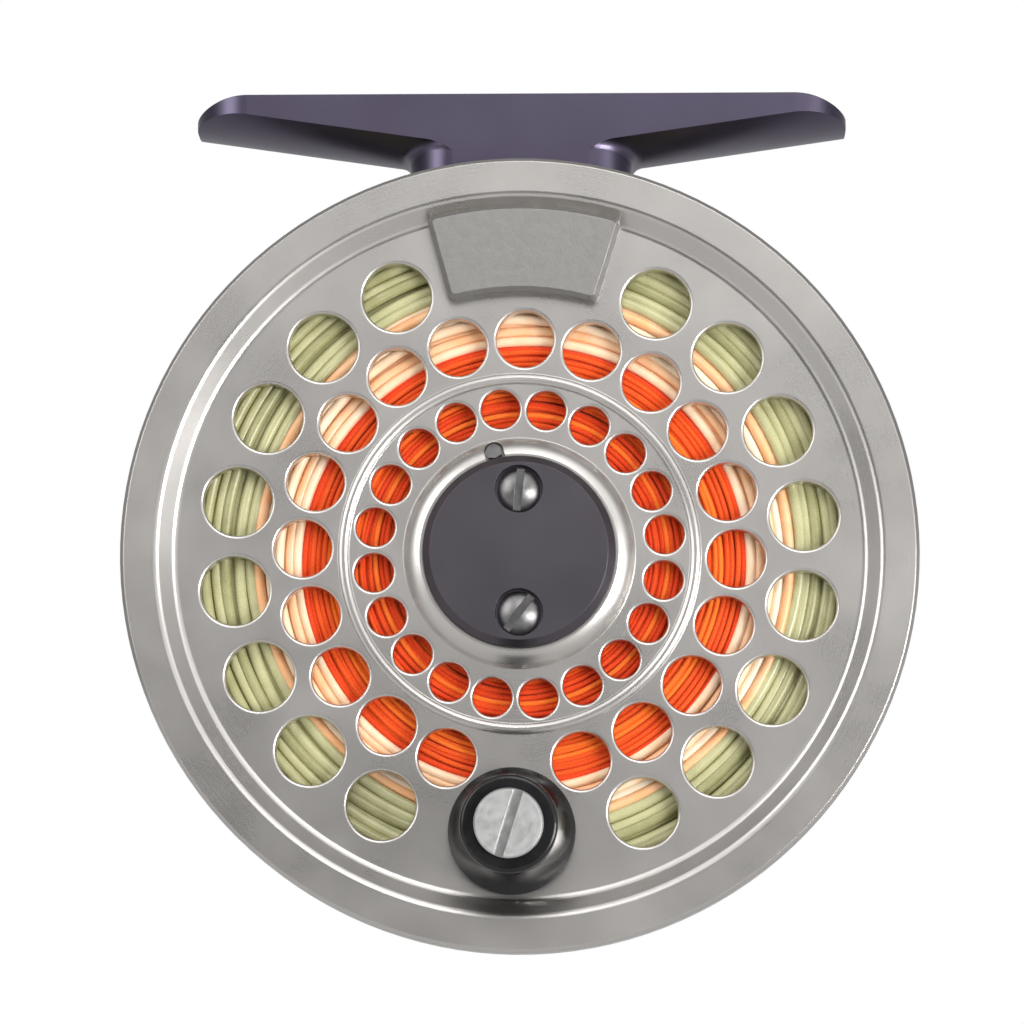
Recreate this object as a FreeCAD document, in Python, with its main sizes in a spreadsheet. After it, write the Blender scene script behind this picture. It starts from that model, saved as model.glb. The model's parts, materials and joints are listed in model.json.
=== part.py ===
import FreeCAD, Part

import math
import os

import Sketcher
from FreeCAD import Placement, Rotation, Vector

# A single-action fly reel of the click-and-pawl kind, 3 inches across.
#
# Part frame: millimetres, +Z up, origin at the middle of the reel foot's saddle, where the
# rod's reel seat bears. The rod runs along X, and the spool's axle runs along Y with the
# handle towards -Y. Most pieces are drawn in the reel's own frame, which has its origin on
# the axle at mid width: x right, y up and z along the axle towards the handle.

doc = FreeCAD.newDocument("fly_reel")

DRIVING = (
    ("axle_drop", 43.3, "axle below the foot's saddle"),
    ("spool_turn", -1.5, "degrees the spool stands turned about its axle"),
    ("half_width", 13.0, "axle's mid width to the rim's face"),
    ("running_gap", 0.3, "spool to frame"),
    # spool
    ("rim_radius", 38.1, "palming rim, outside"),
    ("rim_bevel", 0.35, "palming rim, outer bevel"),
    ("rim_inner_radius", 34.6, "palming rim, inner edge of its flat face"),
    ("band_reach", 0.27, "turned bevels each side of the inner band, along the face"),
    ("skirt_wall", 1.6, "rim's wall that wraps over the front ring"),
    ("skirt_back_z", 7.9, "rim's wall, back edge"),
    ("face_radius", 33.0, "recessed face"),
    ("face_depth", 1.35, "recessed face below the rim"),
    ("flange_wall", 1.6, "front flange"),
    ("back_flange_radius", 32.3, "back flange, small enough to leave through the front ring"),
    ("back_flange_inner_z", -6.2, "back flange, side towards the line"),
    ("back_flange_wall", 1.4, "back flange"),
    ("arbor_radius", 9.5, "arbor that the line is wound on"),
    ("bush_radius", 4.0, "spool's bore and the bushes in it"),
    ("bead_inner_radius", 16.3, "bead on the face"),
    ("bead_outer_radius", 17.35, "bead on the face"),
    ("bead_height", 0.28, "bead on the face"),
    ("hub_foot_radius", 11.1, "domed hub ring at the face"),
    ("hub_height", 1.2, "domed hub ring above the face"),
    ("hub_dome_radius", 3.2, "domed hub ring's crown"),
    ("cap_seat_radius", 9.2, "seat of the latch cover"),
    ("cavity_radius", 7.8, "latch cavity"),
    ("cavity_floor_z", 10.4, "latch cavity's floor"),
    ("hole_round", 0.27, "rounded edge of each hole of the face"),
    ("hole_pitch", 18.0, "degrees between neighbouring holes"),
    ("small_ring_radius", 14.0, "ring of small holes"),
    ("small_hole_radius", 1.84, "small hole"),
    ("medium_ring_radius", 20.7, "ring of medium holes"),
    ("medium_hole_radius", 2.74, "medium hole"),
    ("large_ring_radius", 27.4, "ring of large holes"),
    ("large_hole_radius", 3.29, "large hole"),
    # latch and its cover
    ("cap_top_radius", 8.5, "latch cover, flat top"),
    ("cap_height", 1.45, "latch cover, whole height"),
    ("cap_bevel", 0.7, "latch cover, bevel"),
    ("cap_screw_offset", 5.9, "cover screws from the axle"),
    ("cap_counterbore_radius", 2.3, "pockets of the cover screws"),
    ("cap_counterbore_depth", 1.0, "pockets of the cover screws"),
    ("cap_head_radius", 2.03, "cover screw's head"),
    ("cap_head_height", 1.15, "cover screw's head"),
    ("cap_shank_radius", 0.7, "cover screw's shank"),
    ("cap_post_radius", 1.1, "posts that the cover screws enter"),
    ("slot_width", 0.75, "screwdriver slot"),
    ("latch_angle", 104.0, "degrees, direction of the latch's thumb tab"),
    ("latch_travel", 0.7, "release latch, push to free the spool"),
    ("latch_radius", 7.0, "release latch's plate"),
    ("latch_wall", 1.0, "release latch's plate"),
    ("latch_floor_gap", 0.5, "release latch above the cavity's floor"),
    ("latch_hole_radius", 2.65, "hole that slips off the axle's groove"),
    ("tab_width", 1.35, "release latch's thumb tab"),
    ("tab_reach", 10.7, "release latch's thumb tab, end from the axle"),
    ("notch_width", 1.85, "notch in the hub for the tab"),
    # handle
    ("handle_offset", 26.6, "handle from the axle"),
    ("post_radius", 2.0, "handle post"),
    ("post_tenon_radius", 1.5, "handle post where it is riveted in the flange"),
    ("washer_radius", 4.5, "handle washer"),
    ("washer_wall", 0.4, "handle washer"),
    ("knob_clearance", 0.05, "knob on its post, radial"),
    ("knob_length", 12.5, "knob"),
    ("knob_foot_radius", 6.05, "knob's flared foot"),
    ("knob_foot_height", 0.9, "knob's flared foot, straight edge"),
    ("knob_waist_radius", 4.15, "knob's waist"),
    ("knob_waist_height", 6.4, "knob's waist above its foot"),
    ("knob_flare_radius", 6.6, "knob's hollow flare"),
    ("knob_end_radius", 4.6, "knob's end"),
    ("knob_end_round", 0.45, "knob's rounded end edge"),
    ("knob_head_radius", 3.25, "head of the screw that keeps the knob"),
    ("knob_head_height", 0.9, "head of the screw that keeps the knob"),
    ("knob_slot_width", 0.8, "slot of that screw"),
    ("knob_slot_bevel", 0.09, "bevelled edges of that slot"),
    # counterweight
    ("weight_inner_radius", 25.1, "counterweight"),
    ("weight_outer_radius", 33.5, "counterweight"),
    ("weight_span", 32.6, "counterweight, degrees"),
    ("weight_height", 1.75, "counterweight above the face"),
    ("weight_bevel", 0.45, "counterweight's bevelled edge"),
    ("weight_corner", 0.8, "counterweight's rounded corners"),
    # windings
    ("backing_radius", 20.5, "backing, outside"),
    ("running_line_radius", 25.3, "running line, outside"),
    ("head_line_radius", 30.9, "front part of the line, outside"),
    ("line_side_gap", 0.15, "line to each flange"),
    # frame
    ("plate_radius", 36.9, "back plate"),
    ("plate_wall", 2.4, "back plate"),
    ("plate_bevel", 0.6, "back plate's outer bevel"),
    ("ring_inner_radius", 33.0, "front ring"),
    ("ring_wall", 2.2, "front ring"),
    ("port_count", 12, "holes in each ring of the back plate"),
    ("outer_port_ring", 27.4, "outer ring of ports"),
    ("outer_port_radius", 3.8, "outer ports"),
    ("inner_port_ring", 20.6, "inner ring of ports"),
    ("inner_port_radius", 2.2, "inner ports"),
    ("pillar_ring_radius", 34.6, "pillars from the axle"),
    ("pillar_radius", 1.6, "pillar"),
    ("bridge_half_length", 11.0, "bridge pillar that carries the foot"),
    ("bridge_bottom", 33.0, "bridge pillar's underside above the axle"),
    ("bridge_top", 36.0, "bridge pillar's seat above the axle"),
    ("frame_head_radius", 1.3, "countersunk heads of the frame's screws"),
    ("frame_head_height", 0.7, "countersunk heads of the frame's screws"),
    ("frame_shank_radius", 0.7, "shanks of the frame's screws"),
    ("frame_shank_length", 4.6, "frame's screws, whole length"),
    # foot
    ("foot_length", 63.6, "foot"),
    ("foot_width", 15.0, "foot"),
    ("foot_corner", 5.2, "foot's ends, corner radius in plan"),
    ("saddle_radius", 14.0, "hollow top of the foot"),
    ("belly_radius", 17.5, "round underside of the foot"),
    ("belly_slope", 8.2, "degrees, underside's rise towards each tip"),
    ("tip_wall", 0.7, "foot's thickness at its tips"),
    ("stem_length", 21.6, "stem along the rod"),
    ("stem_depth", 15.0, "stem along the axle"),
    ("stem_corner", 4.2, "stem's corner radius in plan"),
    ("stem_fillet", 1.2, "stem into the foot's underside"),
    ("foot_screw_offset", 6.0, "foot screws from the middle"),
    ("foot_head_radius", 2.4, "foot screw's head"),
    ("foot_head_height", 1.5, "foot screw's head"),
    ("foot_head_sunk", 0.4, "foot screw's head below the saddle"),
    ("foot_shank_radius", 1.4, "foot screw's shank"),
    # axle
    ("axle_radius", 2.5, "axle"),
    ("axle_clearance", 0.05, "axle in the bushes, radial"),
    ("axle_groove_radius", 1.8, "groove that the latch drops into"),
    ("axle_groove_wall", 1.4, "groove that the latch drops into"),
    ("axle_end_z", 12.5, "axle's free end"),
    ("axle_collar_radius", 3.6, "axle's collar on the back plate"),
    ("axle_tenon_radius", 2.0, "axle's tenon in the back plate"),
    ("nut_radius", 4.2, "axle nut, sunk in the back plate"),
    ("nut_wall", 1.2, "axle nut"),
    ("bush_length", 3.0, "bushes"),
    # click gear and pawls
    ("gear_teeth", 28, "click gear"),
    ("gear_tip_radius", 8.2, "click gear"),
    ("gear_root_radius", 7.2, "click gear"),
    ("gear_bore_radius", 4.2, "click gear"),
    ("gear_wall", 1.8, "click gear"),
    ("gear_screw_ring", 5.7, "click gear's screws"),
    ("gear_screw_radius", 0.7, "click gear's screws, shank"),
    ("gear_head_radius", 1.1, "click gear's screws, head"),
    ("gear_head_height", 0.55, "click gear's screws, head"),
    ("gear_screw_length", 2.6, "click gear's screws below the head"),
    ("pawl_offset", 12.5, "pawl pivots from the axle"),
    ("pawl_half_width", 2.0, "pawl"),
    ("pawl_back", 1.9, "pawl's flat back from its pivot"),
    ("pawl_tip_gap", 0.25, "pawl's tip to the gear's teeth"),
    ("pawl_wall", 1.6, "pawl"),
    ("pawl_lift", 0.3, "pawl above the back plate"),
    ("pawl_bore_radius", 1.05, "pawl's hole"),
    ("pawl_post_radius", 1.0, "pawl's post"),
    ("pawl_head_radius", 1.5, "pawl post's head"),
    ("pawl_head_height", 0.4, "pawl post's head"),
    ("post_depth", 1.4, "posts set into the back plate"),
    ("spring_offset", 15.1, "click spring's blade from the axle"),
    ("spring_wall", 0.4, "click spring's strip"),
    ("spring_half_length", 8.0, "click spring's posts each side of the pawl"),
    ("spring_post_radius", 0.8, "click spring's posts"),
    ("latch_spring_radius", 0.7, "latch spring's coil"),
    ("latch_spring_wire", 0.22, "latch spring's wire"),
)

DERIVED = (
    ("face_z", "half_width - face_depth"),
    ("flange_back_z", "face_z - flange_wall"),
    ("rim_flat_radius", "rim_radius - rim_bevel"),
    ("rim_bevel_z", "half_width - rim_bevel"),
    ("skirt_bevel_z", "skirt_back_z + 0.25"),
    ("skirt_bevel_radius", "rim_radius - 0.25"),
    ("skirt_inner_radius", "rim_radius - skirt_wall"),
    ("bead_rise_radius", "bead_inner_radius + 0.15"),
    ("bead_crest_radius", "bead_inner_radius + 0.38"),
    ("bead_fall_radius", "bead_outer_radius - 0.38"),
    ("bead_drop_radius", "bead_outer_radius - 0.15"),
    ("bead_side_z", "face_z + 0.6 * bead_height"),
    ("bead_z", "face_z + bead_height"),
    ("band_foot_radius", "face_radius - band_reach"),
    ("band_low_radius", "face_radius - 0.061 * band_reach"),
    ("band_low_z", "face_z + 0.166 * band_reach"),
    ("band_inner_radius", "face_radius + 0.764 * band_reach"),
    ("band_inner_z", "face_z + 0.645 * band_reach"),
    ("band_outer_radius", "rim_inner_radius - 0.764 * band_reach"),
    ("band_outer_z", "half_width - 0.645 * band_reach"),
    ("band_high_radius", "rim_inner_radius + 0.061 * band_reach"),
    ("band_high_z", "half_width - 0.166 * band_reach"),
    ("band_top_radius", "rim_inner_radius + band_reach"),
    ("back_flange_outer_z", "back_flange_inner_z - back_flange_wall"),
    ("hub_top_z", "face_z + hub_height"),
    ("hub_lip_radius", "cap_seat_radius + 0.3"),
    ("cap_seat_z", "hub_top_z - 0.25"),
    ("cap_radius", "cap_seat_radius - 0.03"),
    ("cap_top_z", "cap_seat_z + cap_height"),
    ("cap_bevel_z", "cap_top_z - cap_bevel"),
    ("cap_pocket_z", "cap_top_z - cap_counterbore_depth"),
    ("cap_head_top_z", "cap_pocket_z + cap_head_height"),
    ("cap_head_edge_z", "cap_head_top_z - 0.75"),
    ("latch_low_z", "cavity_floor_z + latch_floor_gap"),
    ("latch_high_z", "latch_low_z + latch_wall"),
    ("tab_top_z", "cap_seat_z - 0.15"),
    ("tab_end_radius", "0.5 * tab_width"),
    ("notch_floor_z", "latch_low_z - 0.3"),
    ("washer_top_z", "face_z + washer_wall"),
    ("knob_low_z", "washer_top_z + 0.1"),
    ("knob_foot_z", "knob_low_z + knob_foot_height"),
    ("knob_waist_z", "knob_low_z + knob_waist_height"),
    ("knob_high_z", "knob_low_z + knob_length"),
    ("knob_round_z", "knob_high_z - knob_end_round"),
    ("knob_flat_radius", "knob_end_radius - knob_end_round"),
    ("knob_bore_radius", "post_radius + knob_clearance"),
    ("post_high_z", "knob_high_z + 0.2"),
    ("knob_head_top_z", "post_high_z + knob_head_height"),
    ("knob_head_bevel_z", "knob_head_top_z - 0.15"),
    ("knob_head_flat_radius", "knob_head_radius - 0.15"),
    ("knob_screw_low_z", "post_high_z - 5"),
    ("knob_screw_radius", "0.5 * post_radius"),
    ("weight_top_z", "face_z + weight_height"),
    ("weight_pin_z", "weight_top_z - 0.55"),
    ("line_low_z", "back_flange_inner_z + line_side_gap"),
    ("line_high_z", "flange_back_z - line_side_gap"),
    ("plate_outer_z", "-half_width"),
    ("plate_inner_z", "plate_wall - half_width"),
    ("plate_bevel_z", "plate_outer_z + plate_bevel"),
    ("plate_flat_radius", "plate_radius - plate_bevel"),
    ("nut_seat_z", "plate_outer_z + nut_wall"),
    ("ring_high_z", "flange_back_z - running_gap"),
    ("ring_low_z", "ring_high_z - ring_wall"),
    ("ring_outer_radius", "skirt_inner_radius - running_gap"),
    ("axle_collar_z", "back_flange_outer_z - 0.2"),
    ("axle_bevel_radius", "axle_radius - 0.5"),
    ("groove_low_z", "latch_low_z - 0.2"),
    ("groove_high_z", "groove_low_z + axle_groove_wall"),
    ("bush_inner_radius", "axle_radius + axle_clearance"),
    ("front_bush_z", "cavity_floor_z - bush_length"),
    ("back_bush_z", "back_flange_outer_z + bush_length"),
    ("gear_low_z", "back_flange_outer_z - gear_wall"),
    ("gear_head_z", "gear_low_z - gear_head_height"),
    ("gear_screw_z", "gear_low_z + gear_screw_length"),
    ("pawl_low_z", "plate_inner_z + pawl_lift"),
    ("pawl_high_z", "pawl_low_z + pawl_wall"),
    ("pawl_head_low_z", "pawl_high_z + 0.15"),
    ("pawl_head_high_z", "pawl_head_low_z + pawl_head_height"),
    ("post_sunk_z", "plate_inner_z - post_depth"),
)

REEL_TURN = Rotation(Vector(1, 0, 0), 90)
PILLAR_ANGLES = (-90.0, -30.0, 30.0, 150.0, 210.0)
BRIDGE_SCREW_SPOTS = ((-7.0, 34.4), (7.0, 34.4))
SPOOL_HOLE_START = 7.4
MEDIUM_HOLE_START = -1.5
CAP_SLOT_ANGLES = (84.0, 53.0)
KNOB_SLOT_ANGLE = 72.6

nodes = []


def make_sheet():
    """Put every dimension in the sheet: driving ones as numbers, the rest as formulas."""
    dims = doc.addObject("Spreadsheet::Sheet", "Dims")
    rows = [(name, repr(number), note) for name, number, note in DRIVING]
    rows += [(name, "=" + formula, "worked out") for name, formula in DERIVED]
    for row, (name, content, note) in enumerate(rows, start=1):
        dims.set("A%d" % row, name)
        dims.set("B%d" % row, content)
        dims.set("C%d" % row, note)
        dims.setAlias("B%d" % row, name)
    doc.recompute()
    return dims


sheet = make_sheet()


def size(name):
    """A dimension's value from the sheet."""
    return float(sheet.get(name))


def bind(thing, prop, *terms):
    """Bind a property to a dimension, or to the first dimension less the second."""
    thing.setExpression(prop, " - ".join("Dims." + term for term in terms))


def reel_placement():
    return Placement(Vector(0, 0, -size("axle_drop")), REEL_TURN)


def add_node(thing, label, in_reel_frame=True):
    """Name a sub-part and set it in the part frame."""
    thing.Label = label
    if in_reel_frame:
        thing.Placement = reel_placement()
        thing.setExpression("Placement.Base.z", "-Dims.axle_drop")
    nodes.append(thing)
    return thing


def around(radius, degrees):
    """The spot at a radius and an angle about the axle."""
    turn = math.radians(degrees)
    return radius * math.cos(turn), radius * math.sin(turn)


# ---- turned pieces -------------------------------------------------------------------------

def origin_plane(body, role):
    return next(plane for plane in body.Origin.OriginFeatures if plane.Role == role)


def new_sketch(body, name, role):
    sketch = body.newObject("Sketcher::SketchObject", name)
    sketch.AttachmentSupport = [(origin_plane(body, role), "")]
    sketch.MapMode = "FlatFace"
    return sketch


def arc_middle(start, end, radius, side):
    """The middle of the arc between two corners; side 1 bulges to the left of the way along."""
    chord = end - start
    across = Vector(-chord.y, chord.x, 0).normalize()
    half = 0.5 * chord.Length
    rise = radius - math.sqrt(radius * radius - half * half)
    return (start + end) * 0.5 + across * (side * rise)


def edge_end(sketch, index, corner):
    """Which end of a sketch edge lies at a corner: 1 is its start and 2 its end."""
    return 1 if (sketch.getPoint(index, 1) - corner).Length < 1e-6 else 2


def pin_corner(sketch, index, end, corner, names):
    """Fix a corner at the sheet's radius and height."""
    axes = (("DistanceX", names[0], corner.x), ("DistanceY", names[1], corner.y))
    for kind, name, number in axes:
        rule = Sketcher.Constraint(kind, -1, 1, index, end, number)
        number_of_rule = sketch.addConstraint(rule)
        bind(sketch, "Constraints[%d]" % number_of_rule, name)


def draw_outline(sketch, outline):
    """Draw a closed outline. Each corner is (radius, height) by name, and a corner with two
    more values starts an arc: (radius, height, arc radius, side)."""
    corners = [Vector(size(corner[0]), size(corner[1]), 0) for corner in outline]
    for index, corner in enumerate(outline):
        start, end = corners[index], corners[(index + 1) % len(corners)]
        if len(corner) == 4:
            middle = arc_middle(start, end, size(corner[2]), corner[3])
            sketch.addGeometry(Part.Arc(start, middle, end), False)
        else:
            sketch.addGeometry(Part.LineSegment(start, end), False)
    for index, corner in enumerate(outline):
        after = (index + 1) % len(outline)
        here = edge_end(sketch, index, corners[index])
        there = edge_end(sketch, index, corners[after])
        join = edge_end(sketch, after, corners[after])
        sketch.addConstraint(Sketcher.Constraint("Coincident", index, there, after, join))
        pin_corner(sketch, index, here, corners[index], corner)
        if len(corner) == 4:
            rule = sketch.addConstraint(Sketcher.Constraint("Radius", index, size(corner[2])))
            bind(sketch, "Constraints[%d]" % rule, corner[2])


def turned(name, outline):
    """A body turned about the axle's direction from an outline in radius and height."""
    body = doc.addObject("PartDesign::Body", name)
    sketch = new_sketch(body, name + "_outline", "XZ_Plane")
    draw_outline(sketch, outline)
    turning = body.newObject("PartDesign::Revolution", name + "_turning")
    turning.Profile = sketch
    turning.ReferenceAxis = (sketch, ["V_Axis"])
    turning.Angle = 360
    doc.recompute()
    return body


def tube(name, inner, outer, low, high):
    return turned(name, ((inner, low), (outer, low), (outer, high), (inner, high)))


# ---- primitives ----------------------------------------------------------------------------

def bar(name, radius, low, high, spot=(0, 0)):
    """A round bar along the axle's direction."""
    thing = doc.addObject("Part::Cylinder", name)
    bind(thing, "Radius", radius)
    bind(thing, "Height", high, low)
    thing.Placement = Placement(Vector(spot[0], spot[1], size(low)), Rotation())
    bind(thing, "Placement.Base.z", low)
    return thing


def block(name, low, high):
    """A box from its lowest to its highest corner."""
    thing = doc.addObject("Part::Box", name)
    thing.Length = high.x - low.x
    thing.Width = high.y - low.y
    thing.Height = high.z - low.z
    thing.Placement = Placement(low, Rotation())
    return thing


def fuse(name, *things):
    result = doc.addObject("Part::MultiFuse", name)
    result.Shapes = list(things)
    result.Refine = True
    return result


def cut(name, base, *tools):
    result = doc.addObject("Part::Cut", name)
    result.Base = base
    result.Tool = tools[0] if len(tools) == 1 else fuse(name + "_tools", *tools)
    return result


def common(name, *things):
    result = doc.addObject("Part::MultiCommon", name)
    result.Shapes = list(things)
    return result


def group(name, things):
    """Separate solids in one node."""
    result = doc.addObject("Part::Compound", name)
    result.Links = list(things)
    return result


def rounded(name, base, radius, edges):
    """Round the edges of a base that pass a test."""
    doc.recompute()
    chosen = [number for number, edge in enumerate(base.Shape.Edges, start=1) if edges(edge)]
    result = doc.addObject("Part::Fillet", name)
    result.Base = base
    result.Edges = [(number, size(radius), size(radius)) for number in chosen]
    return result


def bevelled(name, base, width, edges):
    """Bevel the edges of a base that pass a test."""
    doc.recompute()
    chosen = [number for number, edge in enumerate(base.Shape.Edges, start=1) if edges(edge)]
    result = doc.addObject("Part::Chamfer", name)
    result.Base = base
    result.Edges = [(number, size(width), size(width)) for number in chosen]
    return result


def upright(edge):
    """An edge that runs along z."""
    low, high = edge.BoundBox.ZMin, edge.BoundBox.ZMax
    return edge.BoundBox.XLength < 1e-6 and edge.BoundBox.YLength < 1e-6 and high > low


def slot(name, spot, degrees, width, low, high, reach=4.0):
    """A box that saws a screwdriver slot across a head."""
    half = 0.5 * size(width)
    thing = block(name, Vector(-reach, -half, 0), Vector(reach, half, size(high) - size(low)))
    place = Vector(spot[0], spot[1], size(low))
    thing.Placement = Placement(place, Rotation(Vector(0, 0, 1), degrees)) * thing.Placement
    return thing


# ---- spool ---------------------------------------------------------------------------------

SPOOL_OUTLINE = (
    ("bush_radius", "back_flange_outer_z"),
    ("bush_radius", "cavity_floor_z"),
    ("cavity_radius", "cavity_floor_z"),
    ("cavity_radius", "cap_seat_z"),
    ("cap_seat_radius", "cap_seat_z"),
    ("cap_seat_radius", "hub_top_z"),
    ("hub_lip_radius", "hub_top_z", "hub_dome_radius", 1),
    ("hub_foot_radius", "face_z"),
    ("bead_inner_radius", "face_z"),
    ("bead_rise_radius", "bead_side_z"),
    ("bead_crest_radius", "bead_z"),
    ("bead_fall_radius", "bead_z"),
    ("bead_drop_radius", "bead_side_z"),
    ("bead_outer_radius", "face_z"),
    ("band_foot_radius", "face_z"),
    ("band_low_radius", "band_low_z"),
    ("band_inner_radius", "band_inner_z"),
    ("band_outer_radius", "band_outer_z"),
    ("band_high_radius", "band_high_z"),
    ("band_top_radius", "half_width"),
    ("rim_flat_radius", "half_width"),
    ("rim_radius", "rim_bevel_z"),
    ("rim_radius", "skirt_bevel_z"),
    ("skirt_bevel_radius", "skirt_back_z"),
    ("skirt_inner_radius", "skirt_back_z"),
    ("skirt_inner_radius", "flange_back_z"),
    ("arbor_radius", "flange_back_z"),
    ("arbor_radius", "back_flange_inner_z"),
    ("back_flange_radius", "back_flange_inner_z"),
    ("back_flange_radius", "back_flange_outer_z"),
)


def hole_ring(body, name, ring, radius, angles):
    """Drill a ring of holes through both flanges."""
    sketch = new_sketch(body, name + "_spots", "XY_Plane")
    for number, angle in enumerate(angles):
        x, y = around(size(ring), angle)
        sketch.addGeometry(Part.Circle(Vector(x, y, 0), Vector(0, 0, 1), size(radius)), False)
        sketch.addConstraint(Sketcher.Constraint("DistanceX", -1, 1, number, 3, x))
        sketch.addConstraint(Sketcher.Constraint("DistanceY", -1, 1, number, 3, y))
        if number:
            sketch.addConstraint(Sketcher.Constraint("Equal", 0, number))
    rule = sketch.addConstraint(Sketcher.Constraint("Radius", 0, size(radius)))
    bind(sketch, "Constraints[%d]" % rule, radius)
    pocket = body.newObject("PartDesign::Pocket", name)
    pocket.Profile = sketch
    pocket.Type = "ThroughAll"
    pocket.Midplane = True
    doc.recompute()
    return pocket


def round_holes(body, radii):
    """Round every hole's edge on the front face."""
    face = size("face_z")
    names = []
    for number, edge in enumerate(body.Shape.Edges, start=1):
        at_face = abs(edge.BoundBox.ZMin - face) < 1e-4 and edge.BoundBox.ZLength < 1e-4
        if at_face and hasattr(edge.Curve, "Radius"):
            if any(abs(edge.Curve.Radius - radius) < 1e-4 for radius in radii):
                names.append("Edge%d" % number)
    drilled = body.Tip
    rounding = body.newObject("PartDesign::Fillet", "hole_rounding")
    rounding.Base = (drilled, names)
    bind(rounding, "Radius", "hole_round")
    doc.recompute()


def ring_angles(start, left_out):
    """Angles at the hole pitch, without the ones near each left-out angle."""
    pitch = size("hole_pitch")
    angles = [start + pitch * step for step in range(round(360 / pitch))]

    def apart(first, second):
        return abs((first - second + 180) % 360 - 180)

    return [angle for angle in angles if all(apart(angle, bare) > reach for bare, reach in left_out)]


def make_spool():
    handle = size("spool_turn") - 90
    weight = size("spool_turn") + 90
    body = turned("spool_body", SPOOL_OUTLINE)
    hole_ring(body, "small_holes", "small_ring_radius", "small_hole_radius",
              ring_angles(SPOOL_HOLE_START, ()))
    hole_ring(body, "medium_holes", "medium_ring_radius", "medium_hole_radius",
              ring_angles(MEDIUM_HOLE_START, ((handle, 5),)))
    hole_ring(body, "large_holes", "large_ring_radius", "large_hole_radius",
              ring_angles(SPOOL_HOLE_START, ((handle, 12), (weight, 12))))
    round_holes(body, [size(kind + "_hole_radius") for kind in ("small", "medium", "large")])

    posts = [bar("cover_post", "cap_post_radius", "cavity_floor_z", "cap_seat_z", spot)
             for spot in cap_screw_spots()]
    pilots = [bar("cover_pilot", "cap_shank_radius", "cavity_floor_z", "cap_seat_z", spot)
              for spot in cap_screw_spots()]
    tenon = bar("tenon_hole", "post_tenon_radius", "flange_back_z", "face_z", handle_spot())
    gear_pilots = [bar("gear_pilot", "gear_screw_radius", "back_flange_outer_z", "gear_screw_z", spot)
                   for spot in gear_screw_spots()]
    pin_holes = [bar("spool_pin_hole", "frame_shank_radius", "flange_back_z", "face_z", spot)
                 for spot in weight_pin_spots()]
    whole = fuse("spool_with_posts", body, *posts)
    spool = cut("spool_drilled", whole, tenon, latch_notch(), *pilots, *gear_pilots, *pin_holes)
    return add_node(spool, "spool")


def latch_direction():
    return Vector(*around(1, size("latch_angle")), 0)


def latch_notch():
    """The notch that the thumb tab shows in, round at its outer end."""
    half = 0.5 * size("notch_width")
    depth = size("hub_top_z") + 1 - size("notch_floor_z")
    end = size("hub_foot_radius") - 0.1 - half
    run = block("notch_run", Vector(size("cavity_radius") - 1, -half, 0), Vector(end, half, depth))
    tip = doc.addObject("Part::Cylinder", "notch_end")
    tip.Radius = half
    tip.Height = depth
    tip.Placement = Placement(Vector(end, 0, 0), Rotation())
    notch = fuse("notch", run, tip)
    turn = Rotation(Vector(0, 0, 1), size("latch_angle"))
    notch.Placement = Placement(Vector(0, 0, size("notch_floor_z")), turn)
    return notch


def make_bushes():
    front = tube("bush_front", "bush_inner_radius", "bush_radius", "front_bush_z", "cavity_floor_z")
    back = tube("bush_back", "bush_inner_radius", "bush_radius", "back_flange_outer_z", "back_bush_z")
    add_node(front, "front_bushing")
    add_node(back, "back_bushing")


def make_windings():
    """Backing, running line and front line as they lie on the arbor."""
    layers = (
        ("backing_line", "arbor_radius", "backing_radius"),
        ("running_line", "backing_radius", "running_line_radius"),
        ("fly_line", "running_line_radius", "head_line_radius"),
    )
    for label, inner, outer in layers:
        add_node(tube(label + "_coil", inner, outer, "line_low_z", "line_high_z"), label)


def make_counterweight():
    """A sector of a ring with rounded corners and a bevelled top."""
    blank = bar("weight_blank", "weight_outer_radius", "face_z", "weight_top_z")
    bind(blank, "Angle", "weight_span")
    hollow = bar("weight_hollow", "weight_inner_radius", "face_z", "weight_top_z")
    sector = cut("weight_sector", blank, hollow)
    start = size("spool_turn") + 90.6 - 0.5 * size("weight_span")
    sector.Placement = Placement(Vector(), Rotation(Vector(0, 0, 1), start))
    corners = rounded("weight_corners", sector, "weight_corner", upright)
    top = size("weight_top_z")

    def top_edge(edge):
        return edge.BoundBox.ZMin > top - 1e-4

    weight = bevelled("weight_bevelled", corners, "weight_bevel", top_edge)
    relief = turned("weight_relief", (
        ("band_foot_radius", "face_z"),
        ("band_top_radius", "face_z"),
        ("band_top_radius", "half_width"),
        ("band_high_radius", "band_high_z"),
        ("band_outer_radius", "band_outer_z"),
        ("band_inner_radius", "band_inner_z"),
        ("band_low_radius", "band_low_z"),
    ))
    pins = [bar("weight_pin_hole", "frame_shank_radius", "flange_back_z", "weight_pin_z", spot)
            for spot in weight_pin_spots()]
    return add_node(cut("weight_fitted", weight, relief, *pins), "counterweight")


def weight_pin_spots():
    middle = size("spool_turn") + 90
    radius = 0.5 * (size("weight_inner_radius") + size("weight_outer_radius"))
    return [around(radius, middle - 9), around(radius, middle + 9)]


# ---- latch under its cover -----------------------------------------------------------------

def cap_screw_spots():
    return [(0, size("cap_screw_offset")), (0, -size("cap_screw_offset"))]


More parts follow.
